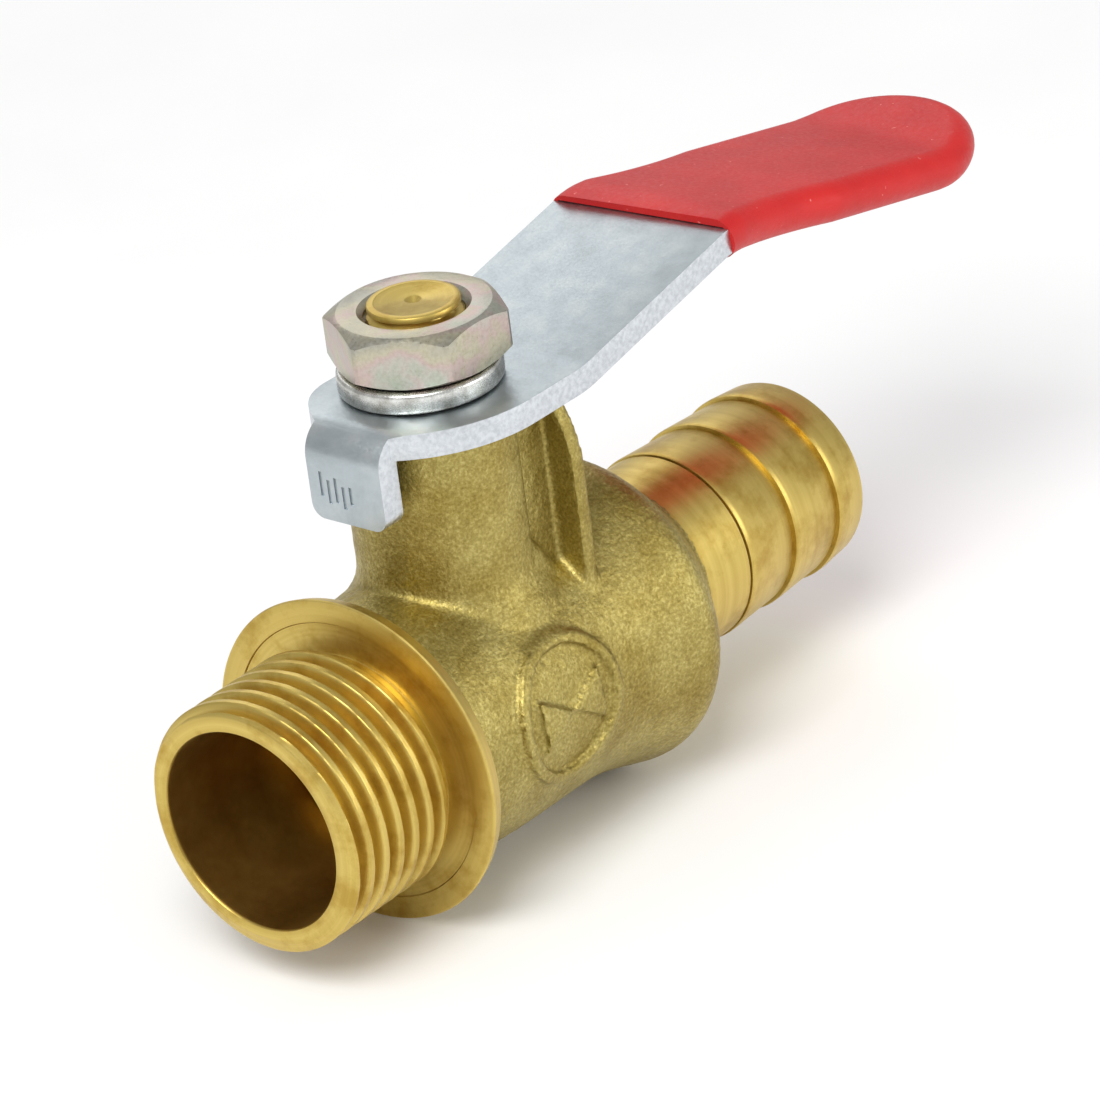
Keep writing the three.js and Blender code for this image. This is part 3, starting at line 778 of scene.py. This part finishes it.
stem_profile += [
    (STEM_TOP_Z - 0.56, 3.55),
    (STEM_TOP_Z - 0.5, 3.72),
    (STEM_TOP_Z - 0.22, 3.74),
    (STEM_TOP_Z - 0.08, 3.66),
    (STEM_TOP_Z - 0.01, 3.48),
    (STEM_TOP_Z, 3.2),
    (STEM_TOP_Z - 0.02, 3.12),
    (STEM_TOP_Z - 0.06, 3.05),
    (STEM_TOP_Z - 0.06, 0.72),
    (STEM_TOP_Z - 0.1, 0.64),
    (STEM_TOP_Z - 0.42, 0.3),
    (STEM_TOP_Z - 0.5, 0.08),
]
stem = turned("stem_turned", stem_profile, "stem", 96, closed=False)
tang_x, tang_y = 1.5, 3.3
tang = slab(
    "tang",
    oblong(STEM_X - tang_x, STEM_X + tang_x, -tang_y, tang_y),
    SLOT_FLOOR_Z + 0.12,
    10,
)
carve(stem, tang, "UNION")
flat_y = 2.85
for side in (-1, 1):
    corners = oblong(STEM_X - 6, STEM_X + 6, flat_y * side, 6 * side)
    carve(stem, slab("flat", corners, LEVER_BOTTOM_Z - 0.05, LEVER_TOP_Z))
STEM_BRASS = turned_brass("stem_brass", "stem")
brazen(shade(stem), STEM_BRASS)
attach(stem, "handle")
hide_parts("stem")

# ---------------------------------------------------------------- stem seals
# Two rubber rings in the stem's grooves seal it to the neck, and a plastic washer lets its collar
# turn on the ledge below.


def black_rubber():
    """Moulded rubber: black, with a faint bloom and a matt grain."""
    rubber = Finish("black_rubber")
    bloom = rubber.noise(1.2, 4)
    black = rubber.ramp(bloom, [(0.35, (0.012, 0.012, 0.013)), (0.7, (0.05, 0.05, 0.052))])
    rubber.feed("Base Color", black)
    rubber.feed("Roughness", rubber.ramp(bloom, [(0.3, 0.45), (0.7, 0.7)]))
    rubber.relief((rubber.noise(0.1, 3), 0.008))
    return rubber.material


BLACK_RUBBER = black_rubber()
RING_SECTION_R = 0.66
RING_CENTRE_R = 5.19
for z, node in zip(RING_Z, ("stem_o_ring_lower", "stem_o_ring_upper")):
    circle = arc(z, RING_CENTRE_R, RING_SECTION_R, 0, 360, 24)[:-1]
    seal = brazen(shade(turned(node + "_rubber", circle, "stem", 96)), BLACK_RUBBER)
    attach(seal, "handle")
    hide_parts(node)

washer_low, washer_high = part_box("stem_thrust_washer")
low_z, high_z = washer_low.z / MM, washer_high.z / MM
thrust_loop = eased_loop([(low_z, 4.52), (low_z, LAND_R), (high_z, LAND_R), (high_z, 4.52)], 0.12)
thrust_washer = brazen(shade(turned("thrust_washer", thrust_loop, "stem", 96)), SEAT_PLASTIC)
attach(thrust_washer, "handle")
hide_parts("stem_thrust_washer")

# ---------------------------------------------------------------- gland bush
# A turned brass bush screwed into the top of the neck keeps the stem down. A slot across its top
# takes the driver.

gland_low, gland_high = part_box("gland_bush")
low_z, high_z = gland_low.z / MM, gland_high.z / MM
gland_r = NECK_BORE_R - 0.1
gland_loop = [
    (low_z, SPINDLE_BORE_R),
    (low_z, gland_r - 0.3),
    (low_z + 0.3, gland_r),
    (high_z - 0.3, gland_r),
    (high_z, gland_r - 0.3),
    (high_z, SPINDLE_BORE_R + 0.15),
    (high_z - 0.15, SPINDLE_BORE_R),
]
gland = turned("gland_bush_turned", gland_loop, "stem", 96)
driver_half = 0.8
driver_slot = slab(
    "driver_slot",
    oblong(STEM_X - 7, STEM_X + 7, -driver_half, driver_half),
    high_z - 1.2,
    high_z + 1,
)
carve(gland, driver_slot)
brazen(shade(gland), STEM_BRASS)
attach(gland, "body")
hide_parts("gland_bush")

# ---------------------------------------------------------------- lever
# The lever is pressed from zinc-plated steel strip: a flat head over the neck, a tab bent down to
# meet the stops, and an arm that rises and then turns down under the grip.

LEVER_THICK = 2.1
STRIP_LEFT, STRIP_RIGHT = 7.06, -10.06
STRIP_MIDDLE = -1.5
LEVER_END = 62.68
TAB_FACE = -10.8
TAB_LEFT, TAB_RIGHT = 3.4, -4.2
TAB_BOTTOM_Z = 19.1
GRIP_START = 27.3
PADDLE_FRONT_HALF = 8.56
PADDLE_PALM_HALF = 8.3
PADDLE_TIP = 9.1
WAIST_DEPTH = 1.26
WAIST_AT, WAIST_END = 33, 40
SLEEVE_FRONT = (26.25, 25.25)
POCKET_SHRINK = 0.3
STRIP_BENDS = ((7.4, 0.21, 1.0), (26.9, -0.415, 1.6), (55.0, 0.285, 1.6))


def strip_rise(distance):
    """Height of the strip's middle surface above its head, at a distance from the stem."""
    rise = 0.0
    for at, turn, ease in STRIP_BENDS:
        past = distance - at
        if past >= ease:
            rise += past * turn
        elif past > -ease:
            rise += (past + ease) ** 2 / (4 * ease) * turn
    return rise


def strip_point(distance, above):
    """A point at a height above the strip's middle surface, square to it."""
    slope = (strip_rise(distance + 0.01) - strip_rise(distance - 0.01)) / 0.02
    angle = math.atan(slope)
    middle = LEVER_TOP_Z - LEVER_THICK / 2 + strip_rise(distance)
    return distance - math.sin(angle) * above, middle + math.cos(angle) * above


def arm_side(start, end, half):
    """Side outline of the arm between two distances from the stem."""
    count = 90
    places = [start + (end - start) * i / count for i in range(count + 1)]
    return [strip_point(d, half) for d in places] + [strip_point(d, -half) for d in reversed(places)]


def paddle_half(distance, grow, end):
    """Half width of the paddle: a waist behind its front edge, and a round end."""
    front, palm = PADDLE_FRONT_HALF + grow, PADDLE_PALM_HALF + grow
    waist = PADDLE_FRONT_HALF - WAIST_DEPTH + grow
    tip_start = end - PADDLE_TIP
    if distance <= GRIP_START:
        return front
    if distance <= WAIST_END:
        t = waist_share(distance)
        return (1 - t) ** 2 * front + 2 * t * (1 - t) * waist + t * t * palm
    if distance <= tip_start:
        return palm
    share = min((distance - tip_start) / PADDLE_TIP, 1.0)
    return palm * math.sqrt(1 - share * share)


def waist_share(distance):
    """How far along the waist's curve, from 0 to 1, a distance from the stem lies."""
    a = GRIP_START - 2 * WAIST_AT + WAIST_END
    b = 2 * (WAIST_AT - GRIP_START)
    c = GRIP_START - distance
    return (-b + math.sqrt(b * b - 4 * a * c)) / (2 * a)


def paddle_plan(grow, end, start):
    """Plan outline of the paddle, grown all round."""
    tip_start = end - PADDLE_TIP
    places = [start + (tip_start - start) * i / 50 for i in range(50)]
    places += [tip_start + PADDLE_TIP * math.sin(math.pi / 2 * i / 24) for i in range(24)]
    right = [(d, STRIP_MIDDLE - paddle_half(d, grow, end)) for d in places]
    left = [(d, STRIP_MIDDLE + paddle_half(d, grow, end)) for d in reversed(places)]
    return right + [(end, STRIP_MIDDLE)] + left


def head_plan():
    corner_r, corner_x = 11.9, 1.0
    corner_y = STRIP_RIGHT + corner_r
    start = 180 + math.degrees(math.asin((corner_y - TAB_RIGHT) / corner_r))
    left_corner = []
    for i in range(17):
        t = i / 16
        x = (1 - t) ** 2 * -3.8 + 2 * t * (1 - t) * -7.0 + t * t * -9.2
        y = (1 - t) ** 2 * STRIP_LEFT + 2 * t * (1 - t) * STRIP_LEFT + t * t * TAB_LEFT
        left_corner.append((x, y))
    outline = [(TAB_FACE - 1, TAB_LEFT), (TAB_FACE - 1, TAB_RIGHT)]
    outline += arc(corner_x, corner_y, corner_r, start, 270, 28)
    outline += [(SLEEVE_FRONT[0] + 0.2, STRIP_RIGHT), (SLEEVE_FRONT[1] + 0.2, STRIP_LEFT)]
    return outline + left_corner


def head_side():
    outer_r, inner_r = 2.6, 0.5
    bend_x, bend_z = TAB_FACE + outer_r, LEVER_TOP_Z - outer_r
    outline = [(0.5, LEVER_BOTTOM_Z), (0.5, LEVER_TOP_Z)]
    outline += arc(bend_x, bend_z, outer_r, 90, 180, 14)
    outline += [(TAB_FACE, TAB_BOTTOM_Z), (TAB_FACE + LEVER_THICK, TAB_BOTTOM_Z)]
    return outline + arc(bend_x, bend_z, inner_r, 180, 90, 6)


def zinc_strip():
    """Blue zinc plate on rolled strip: satin, with broad pale clouds and fine grain."""
    zinc = Finish("zinc_strip", Metallic=1.0)
    clouds = zinc.noise(2.6, 6, 0.6)
    fine = zinc.noise(0.22, 4, 0.6)
    plate = zinc.ramp(
        clouds,
        [(0.3, (0.41, 0.455, 0.475)), (0.5, (0.46, 0.51, 0.535)), (0.7, (0.53, 0.57, 0.58))],
    )
    zinc.feed("Base Color", plate)
    zinc.feed("Roughness", zinc.ramp(fine, [(0.3, 0.3), (0.7, 0.46)]))
    zinc.relief((fine, 0.01), (clouds, 0.04))
    return zinc.material


def zinc_edge_highlight():
    """The strip's sheared edges: a lighter zinc, a painted highlight for the bright narrow edges, over the
    torn grain that the press leaves.
    """
    zinc = Finish("zinc_edge_highlight", Metallic=1.0)
    torn = zinc.noise(0.4, 5, 0.6)
    zinc.feed("Base Color", zinc.ramp(torn, [(0.34, (0.5, 0.53, 0.56)), (0.62, (0.66, 0.69, 0.72))]))
    zinc.feed("Roughness", zinc.ramp(torn, [(0.3, 0.3), (0.7, 0.44)]))
    zinc.relief((torn, 0.025))
    return zinc.material


lever = slab("arm", arm_side(0, LEVER_END + 1, LEVER_THICK / 2), -20, 20, "y")
carve(lever, slab("head", head_side(), -20, 20, "y"), "UNION")
plan = slab("plan", head_plan(), 15, 40)
paddle = paddle_plan(-POCKET_SHRINK, LEVER_END - POCKET_SHRINK, SLEEVE_FRONT[1])
carve(plan, slab("paddle", paddle, 15, 40), "UNION")
carve(lever, plan, "INTERSECT")
tab_corner = 1.2
corner_z = TAB_BOTTOM_Z + tab_corner
tab_outline = [
    (TAB_RIGHT, 26),
    *arc(TAB_RIGHT + tab_corner, corner_z, tab_corner, 180, 270, 8),
    *arc(TAB_LEFT - tab_corner, corner_z, tab_corner, 270, 360, 8),
    (TAB_LEFT, 26),
]
tab_root_x = -8.15
tab_trim = slab("tab_trim", oblong(TAB_FACE - 2, tab_root_x, -20, 20), 15, LEVER_BOTTOM_Z)
carve(tab_trim, slab("tab_keep", tab_outline, TAB_FACE - 3, -7, "x"))
carve(lever, tab_trim)
mark_half, mark_depth = 0.16, 0.14
marks = ((21.1, 23.2), (20.6, 22.6), (20.8, 22.9), (20.4, 22.3), (20.9, 22.4))
for mark, (low_z, high_z) in enumerate(marks):
    y = 2.1 - 0.75 * mark
    stroke = oblong(y - mark_half, y + mark_half, low_z, high_z)
    carve(lever, slab("stroke", stroke, TAB_FACE - 1, TAB_FACE + mark_depth, "x"))
stem_hole = turned("stem_hole", [(24, 4.07), (28, 4.07)], "stem", 64, closed=False)
hole_flats = slab("hole_flats", oblong(8, 20, -2.97, 2.97), 23, 29)
carve(stem_hole, hole_flats, "INTERSECT")
to_stem(lever)
carve(lever, stem_hole)
rolled = lever.modifiers.new("rolled", "BEVEL")
rolled.width = 0.22 * MM
rolled.segments = 3
rolled.limit_method = "ANGLE"
rolled.angle_limit = math.radians(50)
settle(lever)
lever.name = "lever_strip"
brazen(shade(lever, 40), zinc_strip(), zinc_edge_highlight())
# Edge faces take the lighter zinc, a painted highlight; the tab's broad face and its bend keep the plate
# colour.
for face in lever.data.polygons:
    centre = face.center / MM
    on_tab = centre.x < STEM_X - 8.4 and centre.z < LEVER_BOTTOM_Z + 0.8
    broad = abs(face.normal.x) if on_tab else abs(face.normal.z)
    within = TAB_RIGHT + 0.6 < centre.y < TAB_LEFT - 0.1
    bend = centre.x < STEM_X - 8.2 and within and centre.z > TAB_BOTTOM_Z + 1
    face.material_index = int(broad < 0.6 and not bend)
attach(lever, "handle")
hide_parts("lever")

# ---------------------------------------------------------------- grip
# A red vinyl sleeve, dip-moulded and pushed over the paddle. Its edges are fully round, and a thin lip
# marks its open front end.

GRIP_THICK = 3.5
GRIP_END = 63.1


def red_vinyl():
    """Soft red vinyl: satin, with small dimples, dust specks and a faint unevenness."""
    vinyl = Finish("red_vinyl", Specular_IOR_Level=0.36)
    uneven = vinyl.noise(6, 3)
    dimples = vinyl.noise(0.35, 4, 0.55)
    base = vinyl.ramp(uneven, [(0.3, (0.47, 0.007, 0.007)), (0.7, (0.56, 0.014, 0.012))])
    dust = vinyl.ramp(vinyl.noise(0.45, 2, 0.4), [(0.72, (0, 0, 0)), (0.8, (1, 1, 1))])
    vinyl.feed("Base Color", vinyl.blend(dust, base, (0.72, 0.2, 0.18, 1)))
    vinyl.feed("Roughness", vinyl.ramp(dimples, [(0.3, 0.36), (0.7, 0.5)]))
    vinyl.relief((dimples, 0.02), (uneven, 0.12))
    return vinyl.material


def bend_to_strip(piece):
    """Lays a piece drawn flat, with its middle at zero height, along the lever's bends."""
    for vertex in piece.data.vertices:
        distance, across, above = vertex.co / MM
        x, z = strip_point(distance, above)
        vertex.co = Vector((x, across, z)) * MM
    piece.data.update()
    return piece


def slice_along(piece, start, end, step):
    """Cuts a piece's faces into short lengths, so that it can bend."""
    import bmesh

    bm = bmesh.new()
    bm.from_mesh(piece.data)
    distance = start
    while distance < end:
        everything = bm.verts[:] + bm.edges[:] + bm.faces[:]
        bmesh.ops.bisect_plane(bm, geom=everything, plane_co=(distance * MM, 0, 0), plane_no=(1, 0, 0))
        distance += step
    bm.to_mesh(piece.data)
    bm.free()
    return piece


def pillow(name, start, end, grow, half, edge_r, steps=8):
    """A flat paddle with its edge rounded all round but at its open front, then laid along the
    lever's bends."""
    rim = paddle_plan(grow, end, 0)
    rim = [p for p in rim if p[0] > GRIP_START]
    front = paddle_half(GRIP_START, grow, end)
    rim = [(start[0], STRIP_MIDDLE - front), *rim, (start[1], STRIP_MIDDLE + front)]
    last = len(rim) - 1
    outline = []
    for i, (a, b) in enumerate(rim):
        before, after = rim[max(i - 1, 0)], rim[min(i + 1, last)]
        run, side = after[0] - before[0], after[1] - before[1]
        length = math.hypot(run, side)
        inward = (0, 1) if i == 0 else (0, -1) if i == last else (-side / length, run / length)
        outline.append((a, b, *inward))
    verts = []
    for step in range(2 * steps + 1):
        turn = math.pi * (step / (2 * steps) - 0.5)
        inset = edge_r * (1 - math.cos(turn))
        height = (half - edge_r) * (1 if step > steps else -1 if step < steps else 0)
        height += edge_r * math.sin(turn)
        verts += [(a + u * inset, b + v * inset, height) for a, b, u, v in outline]
    count = len(outline)
    faces = [tuple(reversed(range(count))), tuple(2 * steps * count + k for k in range(count))]
    faces += [
        (s * count + k, s * count + (k + 1) % count, (s + 1) * count + (k + 1) % count, (s + 1) * count + k)
        for s in range(2 * steps)
        for k in range(count)
    ]
    piece = mend(new_piece(name, verts, faces))
    slice_along(piece, min(start) + 0.4, end, 0.7)
    return bend_to_strip(piece)


SLEEVE_WALL = 0.42
grip = pillow("grip", SLEEVE_FRONT, GRIP_END, SLEEVE_WALL, GRIP_THICK / 2, GRIP_THICK / 2)
pocket_half = LEVER_THICK / 2 + 0.1
pocket = pillow(
    "pocket", (20, 20), LEVER_END - POCKET_SHRINK + 0.1, 0.1 - POCKET_SHRINK, pocket_half, 0.25, 2
)
carve(grip, pocket)
to_stem(grip)
grip.name = "grip_sleeve"
brazen(shade(grip, 40), red_vinyl())
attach(grip, "handle")
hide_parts("lever_grip")

# ---------------------------------------------------------------- spring washer
# A split lock washer coiled from square zinc-plated wire. Its ends stand slightly apart at the
# back, and its edges are rounded by drawing.

washer_low, washer_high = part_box("spring_washer")


def spring_steel():
    """Bright zinc on drawn wire: fine lines round the coil and darker oily patches."""
    zinc = Finish("spring_steel", Metallic=1.0)
    lines = zinc.noise(0.1, 4, 0.6)
    oil = zinc.noise(1.5, 4)
    zinc.feed("Base Color", zinc.ramp(oil, [(0.34, (0.42, 0.41, 0.37)), (0.6, (0.74, 0.74, 0.71))]))
    zinc.feed("Roughness", zinc.ramp(lines, [(0.3, 0.2), (0.7, 0.36)]))
    zinc.relief((lines, 0.012))
    return zinc.material


wire_inner, wire_outer = 4.35, 6.6
wire_low, wire_high = washer_low.z / MM, washer_high.z / MM
wire_section = eased_loop(oblong(wire_inner, wire_outer, 0, wire_high - wire_low), 0.42, 4)
coil_steps = 160
coil_shift = 0.3
split_at, split_half = math.radians(50), math.radians(3.6)
coil_verts = []
for step in range(coil_steps + 1):
    share = step / coil_steps
    angle = split_at + split_half + (2 * math.pi - 2 * split_half) * share
    for r, h in wire_section:
        squeeze = 0.04 + 0.94 * h / (wire_high - wire_low)
        z = wire_low + squeeze * (wire_high - wire_low) + 0.03 * (share - 0.5)
        coil_verts.append((STEM_X - coil_shift + r * math.cos(angle), r * math.sin(angle), z))
count = len(wire_section)
coil_faces = [
    (s * count + k, s * count + (k + 1) % count, (s + 1) * count + (k + 1) % count, (s + 1) * count + k)
    for s in range(coil_steps)
    for k in range(count)
]
coil_faces += [tuple(range(count)), tuple(coil_steps * count + k for k in reversed(range(count)))]
lock_washer = mend(new_piece("lock_washer", coil_verts, coil_faces))
brazen(shade(lock_washer), spring_steel())
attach(lock_washer, "handle")
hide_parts("spring_washer")

# ---------------------------------------------------------------- nut
# An M8 hexagon nut, chamfered on both faces, zinc-plated with a faint rainbow from passivating.
# The thread shows in its bore below a countersink.

nut_low, nut_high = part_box("lever_nut")
NUT_FLATS = 13.0
nut_bottom, nut_top = nut_low.z / MM, nut_high.z / MM


def zinc_nut():
    """Zinc with a passivated film: silver, drifting to straw, rose and green on the faces."""
    zinc = Finish("zinc_nut", Metallic=1.0)
    drift = zinc.noise(4.5, 3, 0.5)
    fine = zinc.noise(0.3, 5, 0.65)
    film = zinc.ramp(
        drift,
        [
            (0.3, (0.43, 0.42, 0.36)),
            (0.42, (0.52, 0.49, 0.37)),
            (0.5, (0.55, 0.44, 0.41)),
            (0.57, (0.5, 0.49, 0.43)),
            (0.65, (0.43, 0.47, 0.38)),
            (0.75, (0.54, 0.53, 0.49)),
        ],
    )
    wear = zinc.ramp(fine, [(0.3, (0.8, 0.78, 0.74)), (0.6, (1.0, 1.0, 1.0))])
    zinc.feed("Base Color", zinc.blend(1.0, film, wear, "MULTIPLY"))
    zinc.feed("Roughness", zinc.ramp(fine, [(0.3, 0.26), (0.7, 0.44)]))
    zinc.relief((fine, 0.012), (zinc.noise(1.4, 2), 0.05))
    return zinc.material


sharp_r = NUT_FLATS / math.sqrt(3)
corners = [(STEM_X + a, b) for a, b in arc(0, 0, sharp_r, 58, 358, 5)]
nut = slab("hexagon", corners, nut_bottom, nut_top)
face_r, corner_r = NUT_FLATS / 2 - 0.35, sharp_r - 0.13
chamfer = (corner_r - face_r) * math.tan(math.radians(31))
cone = turned(
    "cone",
    [
        (nut_bottom, face_r),
        (nut_bottom + chamfer, corner_r),
        (nut_top - chamfer, corner_r),
        (nut_top, face_r),
    ],
    "stem",
    192,
    closed=False,
)
carve(nut, cone, "INTERSECT")
eased = nut.modifiers.new("eased", "BEVEL")
eased.width = 0.16 * MM
eased.segments = 3
eased.limit_method = "ANGLE"
eased.angle_limit = math.radians(24)
settle(nut)
bore_rows = 56
bore_profile = [(nut_bottom - 1, 5.4), (nut_bottom + 0.4, 4.06)]
for row in range(bore_rows + 1):
    z = nut_bottom + 0.45 + (nut_top - nut_bottom - 0.95) * row / bore_rows
    half_on = z + STEM_THREAD_PITCH / 2
    crest_r = helix(half_on, STEM_THREAD_PITCH, 4.0, 4.3, nut_bottom - 3, 0.5, nut_top + 3, 0.5)
    bore_profile.append((z, crest_r))
bore_profile += [(nut_top - 0.46, 4.1), (nut_top + 1, 5.5)]
carve(nut, turned("nut_bore", bore_profile, "stem", 96, closed=False))
nut.name = "hexagon_nut"
brazen(shade(nut, 28), zinc_nut())
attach(nut, "handle")
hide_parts("lever_nut")

# ---------------------------------------------------------------- floor and light
# A white table, with wide soft lights above and to both sides.

floor_z = cad_low.z - 0.0001


def table_white():
    """Matt white laminate with a very faint mottle."""
    white = Finish("table_white", Roughness=0.85)
    white.feed("Base Color", white.ramp(white.noise(40, 3), [(0.3, 0.93), (0.7, 0.96)]))
    return white.material


floor = new_piece(
    "table_top",
    [(-3000, -3000, 0), (3000, -3000, 0), (3000, 3000, 0), (-3000, 3000, 0)],
    [(0, 1, 2, 3)],
)
floor.location.z = floor_z
brazen(floor, table_white())

world = bpy.data.worlds.new("studio")
bpy.context.scene.world = world
world.use_nodes = True
world.node_tree.nodes["Background"].inputs["Color"].default_value = (1, 1, 1, 1)
world.node_tree.nodes["Background"].inputs["Strength"].default_value = 0.55

middle = (cad_low + cad_high) / 2


def soft_light(name, offset, size, watts):
    """A square light that looks at the middle of the valve."""
    lamp = bpy.data.lights.new(name, "AREA")
    lamp.energy = watts
    lamp.size = size
    light = bpy.data.objects.new(name, lamp)
    light.location = middle + Vector(offset)
    light.rotation_euler = (middle - light.location).to_track_quat("-Z", "Y").to_euler()
    bpy.context.scene.collection.objects.link(light)


soft_light("key", (-0.35, -0.15, 0.42), 0.3, 2.4)
soft_light("side", (0.2, -0.5, 0.18), 0.3, 0.9)
soft_light("back", (0.3, 0.4, 0.35), 0.4, 0.5)

# ---------------------------------------------------------------- camera
# A long lens from the threaded end, above the table, with the camera tipped a little to its side.

camera_data = bpy.data.cameras.new("camera")
camera_data.sensor_width = 36
camera_data.lens = 268.4
camera_data.clip_start = 0.05
camera_data.clip_end = 20
camera = bpy.data.objects.new("camera", camera_data)
look = Vector((0.6748, 0.5989, -0.4312))
right = Vector((0.6145, -0.7795, -0.1211))
look.normalize()
right = (right - look * right.dot(look)).normalized()
up = right.cross(look)
turn = Matrix((right, up, -look)).transposed().to_4x4()
camera.matrix_world = Matrix.Translation(Vector((-416.1, -392.3, 289.0)) * MM) @ turn
bpy.context.scene.collection.objects.link(camera)
bpy.context.scene.camera = camera
bpy.context.scene.view_settings.view_transform = "Standard"
